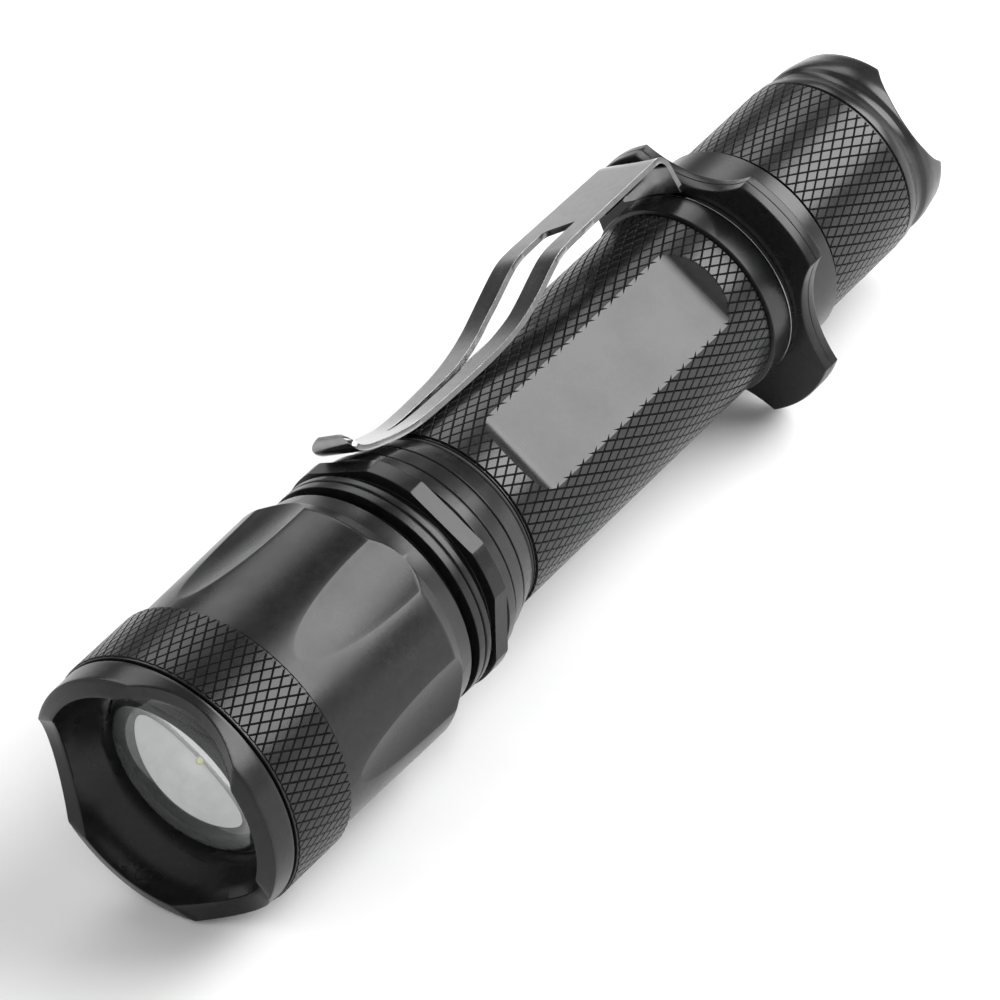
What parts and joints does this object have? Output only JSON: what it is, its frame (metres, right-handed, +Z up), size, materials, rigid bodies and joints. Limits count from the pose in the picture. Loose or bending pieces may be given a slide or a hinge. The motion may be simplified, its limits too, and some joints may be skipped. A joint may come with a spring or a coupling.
{
  "type": "tactical flashlight",
  "caption": "Black aluminium flashlight with a sliding focus head, crowned bezel, knurled grips, pocket clip, lobed ring and recessed tail button.",
  "frame": {"origin": "under the middle of the flashlight, on the surface that it lies on", "axes": "+X along the beam, from the tail to the lens; +Z up, with the clip on the upper -Y side"},
  "size_m": [0.1572, 0.0382, 0.0399],
  "materials": {
    "anodised": "satin black hard anodising",
    "clip_steel": "satin blackened spring steel",
    "rubber": "matte",
    "lens_glass": "polished clear",
    "bare_aluminium": "machined",
    "star_board": "matte white solder mask",
    "led_ceramic": "matte ceramic",
    "led_silicone": "glossy silicone over phosphor",
    "white_plastic": "matte",
    "circuit_board": "satin solder mask",
    "brass_contact": "machined",
    "cell_wrap": "glossy shrink wrap over a steel can",
    "nickel": "nickel plated",
    "black_plastic": "matte"
  },
  "bodies": {
    "body": {"stop_ring": "anodised", "focus_oring": "rubber", "neck_housing": "anodised", "led_pill": "bare_aluminium", "led_star": "star_board", "led_package": "led_ceramic", "led_dome": "led_silicone", "centering_ring": "white_plastic", "driver_board": "circuit_board", "driver_spring": "brass_contact", "body_tube": "anodised", "neck_oring": "rubber", "battery_sleeve": "white_plastic", "battery_cell": "cell_wrap", "battery_cap": "nickel", "tactical_ring": "anodised", "clip_base": "clip_steel", "tail_oring": "rubber"},
    "lens_carrier": {"lens": "lens_glass"},
    "head": {"head_sleeve": "anodised", "strike_bezel": "anodised", "bezel_gasket": "rubber"},
    "clip_arm": {"clip_strap": "clip_steel"},
    "tail_carrier": {"tail_spring": "nickel"},
    "tailcap": {"tailcap_shell": "anodised", "switch_retainer": "brass_contact", "switch_board": "circuit_board", "switch_body": "black_plastic", "boot_washer": "white_plastic", "boot_skirt": "rubber"},
    "button": {"rubber_boot": "rubber", "switch_plunger": "white_plastic"}
  },
  "joints": [
    {"name": "head_zoom", "type": "slide", "parent": "body", "child": "lens_carrier", "axis": [1, 0, 0], "range_m": [0, 0.0095]},
    {"name": "head_turn", "type": "hinge", "parent": "lens_carrier", "child": "head", "pos_m": [0.05365, 0, 0.0191], "axis": [1, 0, 0], "continuous": true},
    {"name": "clip_flex", "type": "hinge", "parent": "body", "child": "clip_arm", "pos_m": [-0.03555, -0.00833, 0.03695], "axis": [0, -0.9063, -0.4226], "range_deg": [0, 4], "stiffness_Nm_per_rad": 6, "springref_deg": -1.15},
    {"name": "tailcap_slide", "type": "slide", "parent": "body", "child": "tail_carrier", "axis": [-1, 0, 0], "range_m": [0, 0.005]},
    {"name": "tailcap_turn", "type": "hinge", "parent": "tail_carrier", "child": "tailcap", "pos_m": [-0.05635, 0, 0.0191], "axis": [-1, 0, 0], "range_deg": [0, 1801]},
    {"name": "button_press", "type": "slide", "parent": "tailcap", "child": "button", "axis": [1, 0, 0], "range_m": [0, 0.0018], "stiffness_N_per_m": 1000, "springref_m": -0.001}
  ],
  "couplings": [
    {"joint": "tailcap_turn", "follows": "tailcap_slide", "rad_per_m": 6283.2}
  ]
}
